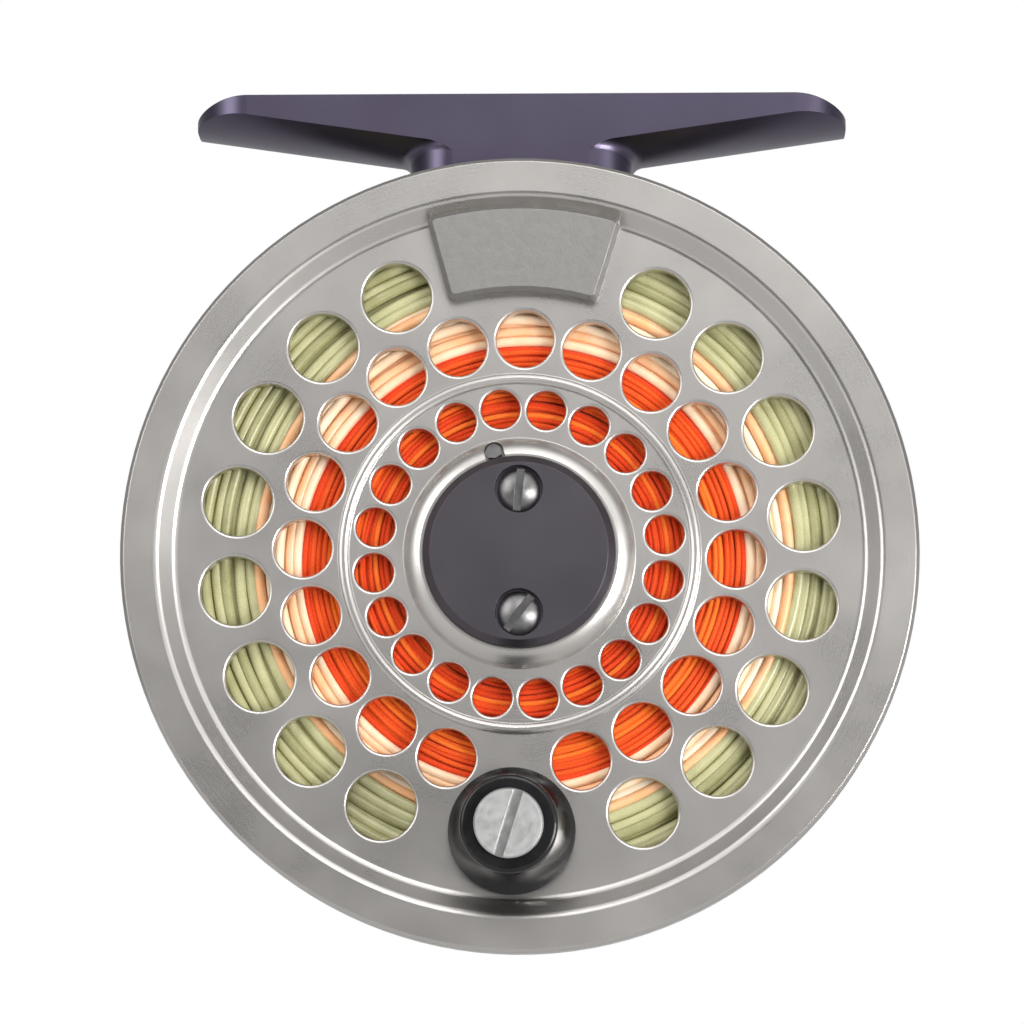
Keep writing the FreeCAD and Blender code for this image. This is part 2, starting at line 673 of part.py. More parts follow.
def make_cover():
    disc = turned("cover_disc", (
        ("axle_groove_radius", "cap_seat_z"),
        ("cap_radius", "cap_seat_z"),
        ("cap_radius", "cap_bevel_z"),
        ("cap_top_radius", "cap_top_z"),
        ("axle_groove_radius", "cap_top_z"),
    ))
    core = bar("cover_core", "axle_groove_radius", "cap_seat_z", "cap_top_z")
    pockets = [bar("cover_pocket", "cap_counterbore_radius", "cap_pocket_z", "cap_top_z", spot)
               for spot in cap_screw_spots()]
    holes = [bar("cover_hole", "cap_shank_radius", "cap_seat_z", "cap_top_z", spot)
             for spot in cap_screw_spots()]
    cover = cut("cover_drilled", fuse("cover_blank", disc, core), *pockets, *holes)
    add_node(cover, "latch_cover")


def domed_screw(name, spot, slot_angle):
    """A slotted screw with a domed head: a ball's cap on a short round edge."""
    head = bar(name + "_edge", "cap_head_radius", "cap_pocket_z", "cap_head_top_z", spot)
    rise = size("cap_head_top_z") - size("cap_head_edge_z")
    radius = (size("cap_head_radius") ** 2 + rise ** 2) / (2 * rise)
    ball = doc.addObject("Part::Sphere", name + "_dome")
    ball.Radius = radius
    ball.Placement = Placement(Vector(spot[0], spot[1], size("cap_head_top_z") - radius), Rotation())
    domed = common(name + "_head", head, ball)
    shank = bar(name + "_shank", "cap_shank_radius", "cavity_floor_z", "cap_pocket_z", spot)
    sawn = slot(name + "_slot", spot, slot_angle, "slot_width", "cap_head_edge_z", "cap_top_z")
    sawn.Height = 3
    return cut(name, fuse(name + "_blank", domed, shank), sawn)


def make_cover_screws():
    screws = [domed_screw("cover_screw_%d" % number, spot, angle)
              for number, (spot, angle) in enumerate(zip(cap_screw_spots(), CAP_SLOT_ANGLES))]
    add_node(group("cover_screw_pair", screws), "cover_screws")


def make_latch():
    """A sliding plate: its round hole stands off centre, so that one side fills the groove."""
    away = latch_direction()
    travel = size("latch_travel")
    plate = bar("latch_disc", "latch_radius", "latch_low_z", "latch_high_z")
    half = 0.5 * size("tab_width")
    low, high, top = size("latch_low_z"), size("latch_high_z"), size("tab_top_z")
    reach = size("tab_reach")
    turn = Placement(Vector(), Rotation(Vector(0, 0, 1), size("latch_angle")))
    neck = size("cavity_radius") + 0.2
    arm = block("latch_arm", Vector(5, -0.1, low), Vector(neck + 0.2, half, high))
    thumb = block("latch_thumb", Vector(neck, -half, low), Vector(reach - half, half, high))
    tab = block("latch_tab", Vector(reach - 1.2, -half, low), Vector(reach - half, half, top))
    tip = bar("latch_tip", "tab_end_radius", "latch_low_z", "tab_top_z", (reach - half, 0))
    for thing in (arm, thumb, tab, tip):
        thing.Placement = turn * thing.Placement
    eye_spot = (away.x * travel, away.y * travel)
    eye = bar("latch_eye", "latch_hole_radius", "latch_low_z", "latch_high_z", eye_spot)
    clear = size("cap_post_radius") + 0.2
    reliefs = []
    for sign in (1, -1):
        spot = size("cap_screw_offset") - 0.5 - travel
        relief = block("latch_relief", Vector(-clear - 0.2, spot - clear + 0.4, low - 1),
                       Vector(clear + 0.2, 12, high + 1))
        relief.Placement = Placement(Vector(), Rotation(Vector(0, 0, 1), 90 - 90 * sign)) * relief.Placement
        reliefs.append(relief)
    spring_seat = block("latch_spring_seat", Vector(-9, -3.5, low - 1), Vector(-4.2, -0.9, high + 1))
    spring_seat.Placement = turn * spring_seat.Placement
    disc = cut("latch_sawn", plate, eye, spring_seat, *reliefs)
    add_node(fuse("latch_whole", disc, arm, thumb, tab, tip), "release_latch")


def make_latch_spring():
    """A short coil drawn at its pressed length, beside the cover's lower post."""
    wire = size("latch_spring_wire")
    coil = size("latch_spring_radius")
    turns, pitch = 4, 0.5
    rings = []
    for number in range(turns):
        ring = doc.addObject("Part::Torus", "latch_spring_turn")
        ring.Radius1 = coil
        ring.Radius2 = wire
        ring.Placement = Placement(Vector(0, 0, pitch * number), Rotation())
        rings.append(ring)
    rod = doc.addObject("Part::Cylinder", "latch_spring_rod")
    rod.Radius = coil - 0.5 * wire
    rod.Height = pitch * (turns - 1)
    spring = fuse("latch_spring_coil", rod, *rings)
    out = latch_direction()
    side = Vector(-out.y, out.x, 0)
    middle = 0.5 * (size("latch_low_z") + size("latch_high_z"))
    start = out * -(size("cavity_radius") - 1.0) - side * 2.2 + Vector(0, 0, middle)
    spring.Placement = Placement(start, Rotation(Vector(0, 0, 1), out))
    holder = group("latch_spring_group", [spring])
    add_node(holder, "latch_spring")


# ---- handle --------------------------------------------------------------------------------

def handle_spot():
    return around(size("handle_offset"), size("spool_turn") - 90)


def move_to_handle(thing, name):
    """Set a piece that was turned about its own axis on the handle's axis."""
    x, y = handle_spot()
    thing.Placement = Placement(Vector(x, y, 0), Rotation())
    return group(name, [thing])


def make_handle():
    post = turned("post_turned", (
        ("knob_screw_radius", "flange_back_z"),
        ("post_tenon_radius", "flange_back_z"),
        ("post_tenon_radius", "face_z"),
        ("post_radius", "face_z"),
        ("post_radius", "post_high_z"),
        ("knob_screw_radius", "post_high_z"),
    ))
    add_node(move_to_handle(post, "handle_post_part"), "handle_post")

    washer = tube("washer_turned", "post_radius", "washer_radius", "face_z", "washer_top_z")
    add_node(move_to_handle(washer, "handle_washer_part"), "handle_washer")

    knob = turned("knob_turned", (
        ("knob_bore_radius", "knob_low_z"),
        ("knob_foot_radius", "knob_low_z"),
        ("knob_foot_radius", "knob_foot_z", "knob_flare_radius", 1),
        ("knob_waist_radius", "knob_waist_z"),
        ("knob_end_radius", "knob_round_z", "knob_end_round", -1),
        ("knob_flat_radius", "knob_high_z"),
        ("knob_bore_radius", "knob_high_z"),
    ))
    add_node(move_to_handle(knob, "handle_knob_part"), "handle_knob")

    head = turned("knob_screw_turned", (
        ("frame_shank_radius", "knob_screw_low_z"),
        ("knob_screw_radius", "knob_screw_low_z"),
        ("knob_screw_radius", "post_high_z"),
        ("knob_head_radius", "post_high_z"),
        ("knob_head_radius", "knob_head_bevel_z"),
        ("knob_head_flat_radius", "knob_head_top_z"),
        ("frame_shank_radius", "knob_head_top_z"),
    ))
    core = bar("knob_screw_core", "frame_shank_radius", "knob_screw_low_z", "knob_head_top_z")
    sawn = slot("knob_screw_slot", (0, 0), KNOB_SLOT_ANGLE, "knob_slot_width",
                "knob_head_bevel_z", "knob_head_top_z")
    sawn.Placement = Placement(Vector(0, 0, -0.35), Rotation()) * sawn.Placement
    sawn.Height = 2
    screw = cut("knob_screw_sawn", fuse("knob_screw_blank", head, core), sawn)
    top = size("knob_head_top_z")

    def slot_edge(edge):
        level = edge.BoundBox.ZMin > top - 1e-4
        return level and edge.Curve.TypeId == "Part::GeomLine"

    screw = bevelled("knob_screw_bevelled", screw, "knob_slot_bevel", slot_edge)
    add_node(move_to_handle(screw, "knob_screw_part"), "knob_screw")


# ---- frame ---------------------------------------------------------------------------------

def pillar_spots():
    return [around(size("pillar_ring_radius"), angle) for angle in PILLAR_ANGLES]


def post_spots():
    """Pawl posts each side of the axle."""
    return [(size("pawl_offset"), 0), (-size("pawl_offset"), 0)]


def spring_post_spots():
    across = size("spring_offset") + 0.5 * size("spring_wall") + size("spring_post_radius")
    along = size("spring_half_length")
    return [(sx * across, sy * along) for sx in (1, -1) for sy in (1, -1)]


def port_ring(body, name, ring, radius):
    """One round port, repeated about the axle."""
    sketch = new_sketch(body, name + "_spot", "XY_Plane")
    x = size(ring)
    sketch.addGeometry(Part.Circle(Vector(x, 0, 0), Vector(0, 0, 1), size(radius)), False)
    sketch.addConstraint(Sketcher.Constraint("PointOnObject", 0, 3, -1))
    across = sketch.addConstraint(Sketcher.Constraint("DistanceX", -1, 1, 0, 3, x))
    wide = sketch.addConstraint(Sketcher.Constraint("Radius", 0, size(radius)))
    bind(sketch, "Constraints[%d]" % across, ring)
    bind(sketch, "Constraints[%d]" % wide, radius)
    pocket = body.newObject("PartDesign::Pocket", name)
    pocket.Profile = sketch
    pocket.Type = "ThroughAll"
    pocket.Midplane = True
    doc.recompute()
    pattern = body.newObject("PartDesign::PolarPattern", name + "_ring")
    pattern.Originals = [pocket]
    pattern.Axis = (sketch, ["N_Axis"])
    pattern.Angle = 360
    pattern.Occurrences = int(size("port_count"))
    body.Tip = pattern
    doc.recompute()


def countersunk_screw(name, spot, outer, direction):
    """A flush countersunk screw whose head's face lies at the height outer."""
    head_high, length = size("frame_head_height"), size("frame_shank_length")
    head = doc.addObject("Part::Cone", name + "_head")
    bind(head, "Radius1", "frame_head_radius")
    bind(head, "Radius2", "frame_shank_radius")
    bind(head, "Height", "frame_head_height")
    shank = doc.addObject("Part::Cylinder", name + "_shank")
    bind(shank, "Radius", "frame_shank_radius")
    shank.Height = length - head_high
    shank.Placement = Placement(Vector(0, 0, head_high), Rotation())
    screw = fuse(name, head, shank)
    turn = Rotation() if direction > 0 else Rotation(Vector(1, 0, 0), 180)
    screw.Placement = Placement(Vector(spot[0], spot[1], size(outer)), turn)
    return screw


def frame_screws(name, spots):
    """Screws through the back plate and through the front ring at each spot."""
    screws = []
    for number, spot in enumerate(spots):
        screws.append(countersunk_screw("%s_back_%d" % (name, number), spot, "plate_outer_z", 1))
        screws.append(countersunk_screw("%s_front_%d" % (name, number), spot, "ring_high_z", -1))
    return screws


def make_back_plate():
    body = turned("plate_body", (
        ("axle_tenon_radius", "nut_seat_z"),
        ("nut_radius", "nut_seat_z"),
        ("nut_radius", "plate_outer_z"),
        ("plate_flat_radius", "plate_outer_z"),
        ("plate_radius", "plate_bevel_z"),
        ("plate_radius", "plate_inner_z"),
        ("axle_tenon_radius", "plate_inner_z"),
    ))
    port_ring(body, "outer_ports", "outer_port_ring", "outer_port_radius")
    port_ring(body, "inner_ports", "inner_port_ring", "inner_port_radius")
    seats = [bar("pawl_post_seat", "pawl_post_radius", "post_sunk_z", "plate_inner_z", spot)
             for spot in post_spots()]
    seats += [bar("spring_post_seat", "spring_post_radius", "post_sunk_z", "plate_inner_z", spot)
              for spot in spring_post_spots()]
    spots = pillar_spots() + list(BRIDGE_SCREW_SPOTS)
    screws = frame_screws("plate_hole", spots)
    add_node(cut("plate_drilled", body, *seats, *screws), "back_plate")


def make_front_ring():
    body = tube("ring_body", "ring_inner_radius", "ring_outer_radius", "ring_low_z", "ring_high_z")
    screws = frame_screws("ring_hole", pillar_spots() + list(BRIDGE_SCREW_SPOTS))
    add_node(cut("ring_drilled", body, *screws), "front_ring")


def make_pillars():
    for number, spot in enumerate(pillar_spots(), start=1):
        rod = bar("pillar_rod_%d" % number, "pillar_radius", "plate_inner_z", "ring_low_z", spot)
        screws = frame_screws("pillar_hole_%d" % number, [spot])
        add_node(cut("pillar_drilled_%d" % number, rod, *screws), "frame_pillar_%d" % number)


def make_bridge():
    reach = size("bridge_half_length")
    beam = block("bridge_beam", Vector(-reach, size("bridge_bottom"), size("plate_inner_z")),
                 Vector(reach, size("bridge_top"), size("ring_low_z")))
    body = rounded("bridge_rounded", beam, "foot_shank_radius",
                   lambda edge: upright(edge) and edge.BoundBox.YMin < size("bridge_bottom") + 1)
    screws = frame_screws("bridge_hole", BRIDGE_SCREW_SPOTS)
    taps = []
    for sign in (1, -1):
        tap = doc.addObject("Part::Cylinder", "foot_tap")
        bind(tap, "Radius", "foot_shank_radius")
        tap.Height = size("bridge_top") - size("bridge_bottom")
        spot = Vector(sign * size("foot_screw_offset"), size("bridge_top"), 0)
        tap.Placement = Placement(spot, Rotation(Vector(1, 0, 0), 90))
        taps.append(tap)
    add_node(cut("bridge_drilled", body, *screws, *taps), "bridge_pillar")


def make_frame_screws():
    add_node(group("pillar_screw_group", frame_screws("pillar_screw", pillar_spots())),
             "pillar_screws")
    add_node(group("bridge_screw_group", frame_screws("bridge_screw", BRIDGE_SCREW_SPOTS)),
             "bridge_screws")


# ---- foot ----------------------------------------------------------------------------------

def lying_cylinder(name, radius, middle, tilt):
    """A long cylinder along the rod, its axis through a point and tilted in the XZ plane."""
    reach = 1.5 * size("foot_length")
    thing = doc.addObject("Part::Cylinder", name)
    bind(thing, "Radius", radius)
    thing.Height = 2 * reach
    turn = Rotation(Vector(0, 1, 0), tilt) * Rotation(Vector(0, 1, 0), 90)
    thing.Placement = Placement(middle - turn.multVec(Vector(0, 0, reach)), turn)
    return thing


def foot_screw(name, sign):
    """A cheese-headed screw down through the saddle and the stem."""
    top = -size("foot_head_sunk")
    head = doc.addObject("Part::Cylinder", name + "_head")
    bind(head, "Radius", "foot_head_radius")
    bind(head, "Height", "foot_head_height")
    head.Placement = Placement(Vector(0, 0, top - size("foot_head_height")), Rotation())
    bottom = size("bridge_bottom") - size("axle_drop")
    shank = doc.addObject("Part::Cylinder", name + "_shank")
    bind(shank, "Radius", "foot_shank_radius")
    shank.Height = top - bottom
    shank.Placement = Placement(Vector(0, 0, bottom), Rotation())
    half = 0.5 * size("slot_width")
    saw = block(name + "_saw", Vector(-4, -half, top - 0.7), Vector(4, half, top + 1))
    screw = cut(name, fuse(name + "_blank", head, shank), saw)
    screw.Placement = Placement(Vector(sign * size("foot_screw_offset"), 0, 0), Rotation())
    return screw


def make_foot():
    """A plate hollow on top for the reel seat, round below, on a stem with round corners."""
    length, width = size("foot_length"), size("foot_width")
    floor = size("bridge_top") - size("axle_drop")
    rise = 0.5 * width
    plan = block("foot_plan", Vector(-0.5 * length, -0.5 * width, floor),
                 Vector(0.5 * length, 0.5 * width, rise))
    outline = rounded("foot_outline", plan, "foot_corner", upright)
    slope = size("belly_slope")
    down = math.cos(math.radians(slope))
    sides = []
    for sign in (1, -1):
        tip = Vector(sign * 0.5 * length, 0, -size("tip_wall"))
        middle = tip + Vector(0, 0, size("belly_radius") / down)
        sides.append(lying_cylinder("foot_belly", "belly_radius", middle, -sign * slope))
    belly = common("foot_lens", outline, *sides)
    half_stem, half_depth = 0.5 * size("stem_length"), 0.5 * size("stem_depth")
    stem_block = block("stem_block", Vector(-half_stem, -half_depth, floor),
                       Vector(half_stem, half_depth, -0.5))
    stem = rounded("stem_rounded", stem_block, "stem_corner", upright)
    whole = fuse("foot_blank", belly, stem)

    def at_root(edge):
        box = edge.BoundBox
        inside = box.XMax < half_stem + 0.1 and box.XMin > -half_stem - 0.1
        return inside and floor + 0.5 < box.ZMin and box.ZMax < -1.2

    filleted = rounded("foot_filleted", whole, "stem_fillet", at_root)
    saddle = lying_cylinder("foot_saddle", "saddle_radius", Vector(0, 0, size("saddle_radius")), 0)
    wells = []
    for sign in (1, -1):
        well = doc.addObject("Part::Cylinder", "foot_well")
        well.Radius = size("foot_head_radius") + 0.15
        well.Height = 5
        bottom = -size("foot_head_sunk") - size("foot_head_height")
        well.Placement = Placement(Vector(sign * size("foot_screw_offset"), 0, bottom), Rotation())
        hole = doc.addObject("Part::Cylinder", "foot_hole")
        bind(hole, "Radius", "foot_shank_radius")
        hole.Height = 12
        hole.Placement = Placement(Vector(sign * size("foot_screw_offset"), 0, -10), Rotation())
        wells += [well, hole]
    add_node(cut("foot_whole", filleted, saddle, *wells), "reel_foot", in_reel_frame=False)
    screws = [foot_screw("foot_screw_%d" % number, sign) for number, sign in enumerate((1, -1))]
    add_node(group("foot_screw_pair", screws), "foot_screws", in_reel_frame=False)


# ---- axle and click gear -------------------------------------------------------------------

def make_axle():
    shaft = turned("axle_turned", (
        ("frame_shank_radius", "nut_seat_z"),
        ("axle_tenon_radius", "nut_seat_z"),
        ("axle_tenon_radius", "plate_inner_z"),
        ("axle_collar_radius", "plate_inner_z"),
        ("axle_collar_radius", "axle_collar_z"),
        ("axle_radius", "axle_collar_z"),
        ("axle_radius", "groove_low_z"),
        ("axle_groove_radius", "groove_low_z"),
        ("axle_groove_radius", "groove_high_z"),
        ("axle_radius", "groove_high_z"),
        ("axle_bevel_radius", "axle_end_z"),
        ("frame_shank_radius", "axle_end_z"),
    ))
    core = bar("axle_core", "frame_shank_radius", "nut_seat_z", "axle_end_z")
    add_node(fuse("axle_whole", shaft, core), "spool_axle")

    disc = bar("nut_disc", "nut_radius", "plate_outer_z", "nut_seat_z")
    half = 0.5 * size("slot_width")
    saws = []
    for turn in (0, 90):
        saw = block("nut_saw", Vector(-5, -half, 0), Vector(5, half, 0.6))
        place = Vector(0, 0, size("plate_outer_z"))
        saw.Placement = Placement(place, Rotation(Vector(0, 0, 1), turn)) * saw.Placement
        saws.append(saw)
    core = bar("nut_middle", "axle_groove_radius", "plate_outer_z", "nut_seat_z")
    add_node(fuse("nut_whole", cut("nut_sawn", disc, *saws), core), "axle_nut")


def gear_screw_spots():
    return [around(size("gear_screw_ring"), angle) for angle in (90, 210, 330)]


def make_click_gear():
    """A toothed wheel on the back flange: triangular teeth round a disc."""
    teeth = int(size("gear_teeth"))
    tip, root = size("gear_tip_radius"), size("gear_root_radius")
    points = []
    for step in range(2 * teeth):
        points.append(Vector(*around(tip if step % 2 == 0 else root, 180.0 * step / teeth),
                             size("gear_low_z")))
    wire = Part.makePolygon(points + points[:1])
    blank = doc.addObject("Part::Feature", "gear_blank")
    blank.Shape = Part.Face(wire).extrude(Vector(0, 0, size("gear_wall")))
    bore = bar("gear_bore", "gear_bore_radius", "gear_low_z", "back_flange_outer_z")
    holes = [bar("gear_hole", "gear_screw_radius", "gear_low_z", "back_flange_outer_z", spot)
             for spot in gear_screw_spots()]
    add_node(cut("gear_drilled", blank, bore, *holes), "click_gear")

    screws = []
    for number, spot in enumerate(gear_screw_spots()):
        head = bar("gear_head_%d" % number, "gear_head_radius", "gear_head_z", "gear_low_z", spot)
        shank = bar("gear_shank_%d" % number, "gear_screw_radius", "gear_low_z", "gear_screw_z", spot)
        screws.append(fuse("gear_screw_%d" % number, head, shank))
    add_node(group("gear_screw_group", screws), "gear_screws")


def make_pawls():
    """Two pawls that point at the axle, each rocking on its post before a flat spring."""
    offset, half, back = size("pawl_offset"), size("pawl_half_width"), size("pawl_back")
    tip = size("gear_tip_radius") + size("pawl_tip_gap")
    low = size("pawl_low_z")
    for letter, sign in (("a", 1), ("b", -1)):
        outline = (
            (offset + back, -half),
            (offset + back, half),
            (offset, half),
            (tip, 0),
            (offset, -half),
        )
        points = [Vector(sign * x, sign * y, low) for x, y in outline]
        blank = doc.addObject("Part::Feature", "pawl_blank_" + letter)
        wire = Part.makePolygon(points + points[:1])
        blank.Shape = Part.Face(wire).extrude(Vector(0, 0, size("pawl_wall")))
        bore = bar("pawl_bore_" + letter, "pawl_bore_radius", "pawl_low_z", "pawl_high_z",
                   (sign * offset, 0))
        add_node(cut("pawl_cut_" + letter, blank, bore), "click_pawl_" + letter)

    posts = []
    for number, spot in enumerate(post_spots()):
        stem = bar("pawl_stem_%d" % number, "pawl_post_radius", "post_sunk_z", "pawl_head_high_z", spot)
        head = bar("pawl_cap_%d" % number, "pawl_head_radius", "pawl_head_low_z",
                   "pawl_head_high_z", spot)
        posts.append(fuse("pawl_post_%d" % number, stem, head))
    add_node(group("pawl_post_group", posts), "pawl_posts")


def make_click_springs():
    """A flat strip between two posts behind each pawl, curled round each post."""
    wall, reach = size("spring_wall"), size("spring_half_length")
    offset = size("spring_offset")
    low, high = size("pawl_low_z"), size("pawl_high_z")
    for letter, sign in (("a", 1), ("b", -1)):
        edges = sorted((sign * (offset - 0.5 * wall), sign * (offset + 0.5 * wall)))
        pieces = [block("blade_" + letter, Vector(edges[0], -reach, low), Vector(edges[1], reach, high))]
        for side in (1, -1):
            spot = (sign * (offset + 0.5 * wall + size("spring_post_radius")), side * reach)
            curl = bar("curl_" + letter, "spring_post_radius", "pawl_low_z", "pawl_high_z", spot)
            curl.setExpression("Radius", "Dims.spring_post_radius + Dims.spring_wall")
            pieces.append(curl)
        holes = [bar("curl_hole_" + letter, "spring_post_radius", "pawl_low_z", "pawl_high_z",
                     (sign * (offset + 0.5 * wall + size("spring_post_radius")), side * reach))
                 for side in (1, -1)]
        spring = cut("click_spring_cut_" + letter, fuse("click_spring_fused_" + letter, *pieces), *holes)
        add_node(spring, "click_spring_" + letter)
    posts = [bar("spring_post_%d" % number, "spring_post_radius", "post_sunk_z", "pawl_high_z", spot)
             for number, spot in enumerate(spring_post_spots())]
    add_node(group("spring_post_group", posts), "spring_posts")


def make_weight_pins():
    pins = [bar("weight_pin_%d" % number, "frame_shank_radius", "flange_back_z", "weight_pin_z", spot)
            for number, spot in enumerate(weight_pin_spots())]
    add_node(group("weight_pin_pair", pins), "counterweight_rivets")


def check_and_write():
    """Stop on any failed object, and write every sub-part's solids."""
    doc.recompute()
    for thing in doc.Objects:
        if "Invalid" in thing.State or "Error" in thing.State:
            raise RuntimeError("%s failed: %s" % (thing.Name, thing.State))
    os.makedirs("parts", exist_ok=True)
    for thing in nodes:
        if thing.Shape.isNull() or not thing.Shape.isValid():
            raise RuntimeError("%s has no valid shape" % thing.Label)
        solids = thing.Shape.Solids
        print("%-22s %2d solids %10.2f mm3" % (thing.Label, len(solids), thing.Shape.Volume))
        thing.Shape.exportStep("parts/%s.step" % thing.Label)


make_spool()
make_bushes()
make_windings()
make_counterweight()
make_weight_pins()
make_cover()
make_cover_screws()
make_latch()
make_latch_spring()
make_handle()
make_back_plate()
make_front_ring()
make_pillars()
make_bridge()
make_frame_screws()
make_foot()
make_axle()
make_click_gear()
make_pawls()
make_click_springs()
check_and_write()
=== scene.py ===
import json
import math

import bpy
import numpy as np
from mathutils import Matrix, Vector


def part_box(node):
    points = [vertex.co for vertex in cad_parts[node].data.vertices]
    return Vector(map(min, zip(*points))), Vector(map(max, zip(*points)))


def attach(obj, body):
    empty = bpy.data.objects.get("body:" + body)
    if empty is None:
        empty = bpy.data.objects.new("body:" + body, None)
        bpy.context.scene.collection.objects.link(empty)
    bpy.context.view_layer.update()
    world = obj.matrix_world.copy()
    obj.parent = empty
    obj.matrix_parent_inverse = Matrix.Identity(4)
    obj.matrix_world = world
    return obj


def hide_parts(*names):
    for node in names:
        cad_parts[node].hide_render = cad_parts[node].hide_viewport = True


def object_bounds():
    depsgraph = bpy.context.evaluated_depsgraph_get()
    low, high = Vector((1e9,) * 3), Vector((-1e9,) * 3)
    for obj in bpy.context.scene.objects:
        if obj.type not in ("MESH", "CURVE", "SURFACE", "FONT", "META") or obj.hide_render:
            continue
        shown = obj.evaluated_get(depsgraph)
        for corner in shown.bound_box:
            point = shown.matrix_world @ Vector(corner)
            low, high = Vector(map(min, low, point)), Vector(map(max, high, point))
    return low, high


# The looks of a click-and-pawl fly reel. The row frame is in metres: the foot's saddle is at the
# origin, +Z up, and the spool's axle lies along Y with the handle towards -Y.

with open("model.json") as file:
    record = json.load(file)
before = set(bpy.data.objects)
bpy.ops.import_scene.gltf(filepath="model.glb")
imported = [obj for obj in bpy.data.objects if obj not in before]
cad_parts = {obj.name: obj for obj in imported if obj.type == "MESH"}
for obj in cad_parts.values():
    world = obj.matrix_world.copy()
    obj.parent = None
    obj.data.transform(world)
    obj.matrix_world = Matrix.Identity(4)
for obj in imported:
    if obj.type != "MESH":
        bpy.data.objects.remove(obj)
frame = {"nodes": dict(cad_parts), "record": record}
cad_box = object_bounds()

MM = 0.001
spool_low, spool_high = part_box("spool")
AXLE = Vector((0.0, 0.0, 0.5 * (spool_low.z + spool_high.z)))
# The foot is midway between the rim's front face and the back plate's outer face.
RIM_FACE_Y = -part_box("back_plate")[1].y


# ---- node trees ----------------------------------------------------------------------------

class Nodes:
    """A short way to build a node tree."""

    def __init__(self, tree):
        self.tree = tree
        tree.nodes.clear()

    def add(self, kind, **settings):
        """A node, with its properties and its unlinked inputs set by name."""
        node = self.tree.nodes.new(kind)
        for name, value in settings.items():
            if hasattr(node, name):
                setattr(node, name, value)
            else:
                node.inputs[name.replace("_", " ")].default_value = value
        return node

    def link(self, source, target):
        self.tree.links.new(source, target)

    def math(self, operation, first, second=0.0):
        """A sum, product or other operation on sockets or numbers."""
        node = self.add("ShaderNodeMath", operation=operation)
        for socket, value in zip(node.inputs, (first, second)):
            if isinstance(value, (int, float)):
                socket.default_value = value
            else:
                self.link(value, socket)
        return node.outputs[0]

    def vector_math(self, operation, first, second=None):
        """The outputs of an operation on a vector socket and a fixed vector."""
        node = self.add("ShaderNodeVectorMath", operation=operation)
        self.link(first, node.inputs[0])
        if second is not None:
            node.inputs[1].default_value = second
        return node.outputs

    def mixed(self, *shares):
        """A weighted sum of sockets: each share is (socket, weight)."""
        total = None
        for socket, weight in shares:
            part = self.math("MULTIPLY", socket, weight)
            total = part if total is None else self.math("ADD", total, part)
        return total

    def split(self, vector):
        """The X, Y and Z sockets of a vector."""
        node = self.add("ShaderNodeSeparateXYZ")
        self.link(vector, node.inputs[0])
        return node.outputs

    def spread(self, value, low, high, from_low=0.0, from_high=1.0):
        """Map a socket's value to a range, clamped."""
        node = self.add("ShaderNodeMapRange", From_Min=from_low, From_Max=from_high,
                        To_Min=low, To_Max=high)
        self.link(value, node.inputs["Value"])
        return node.outputs["Result"]

    def noise(self, size, detail=2.0):
        """Noise whose grains measure about size metres on the piece."""
        node = self.add("ShaderNodeTexNoise", Scale=1.0 / size, Detail=detail)
        self.link(self.place(), node.inputs["Vector"])
        return node.outputs["Fac"]

    def turning(self, size, centre, detail=2.0):
        """Rings of tool marks, about size metres apart, round an axis along Y through a point."""
        node = self.add("ShaderNodeTexNoise", noise_dimensions="1D", Scale=1.0 / size,
                        Detail=detail)
        from_centre = self.vector_math("SUBTRACT", self.place(), centre)["Vector"]
        across = self.vector_math("MULTIPLY", from_centre, (1, 0, 1))["Vector"]
        self.link(self.vector_math("LENGTH", across)["Value"], node.inputs["W"])
        return node.outputs["Fac"]

    def place(self):
        """A point of the piece in its own frame, in metres."""
        return self.add("ShaderNodeTexCoord").outputs["Object"]


class Surface(Nodes):
    """A material about one principled shader, whose unlinked inputs are set by name."""

    def __init__(self, name, **settings):
        self.material = bpy.data.materials.new(name)
        self.material.use_nodes = True
        super().__init__(self.material.node_tree)
        self.shader = self.add("ShaderNodeBsdfPrincipled", **settings)
        output = self.add("ShaderNodeOutputMaterial")
        self.link(self.shader.outputs["BSDF"], output.inputs["Surface"])

    def colour(self, value, stops):
        """Colours along a value: stops are (place, (red, green, blue))."""
        node = self.add("ShaderNodeValToRGB")
        self.link(value, node.inputs["Fac"])
        band = node.color_ramp
        while len(band.elements) < len(stops):
            band.elements.new(0.5)
        for element, (place, colour) in zip(band.elements, stops):
            element.position = place
            element.color = (*colour, 1.0)
        self.link(node.outputs["Color"], self.shader.inputs["Base Color"])

    def roughness(self, value, low, high, from_low=0.3, from_high=0.7):
        """Roughness from low to high where noise has most of its values."""
        rough = self.spread(value, low, high, from_low, from_high)
        self.link(rough, self.shader.inputs["Roughness"])

    def bump(self, height, depth, rounding=0.0):
        """Bump of a depth in metres. Rounding softens sharp edges by a radius in metres."""
        node = self.add("ShaderNodeBump", Distance=depth)
        self.link(height, node.inputs["Height"])
        if rounding:
            soft = self.add("ShaderNodeBevel", samples=4, Radius=rounding)
            self.link(soft.outputs["Normal"], node.inputs["Normal"])
        self.link(node.outputs["Normal"], self.shader.inputs["Normal"])

    def strand(self):
        """A number from 0 to 1 of the turn of line's own."""
        return self.add("ShaderNodeAttribute", attribute_name="strand").outputs["Fac"]


# ---- materials -----------------------------------------------------------------------------

def shade(colour, factor):
    return tuple(channel * factor for channel in colour)


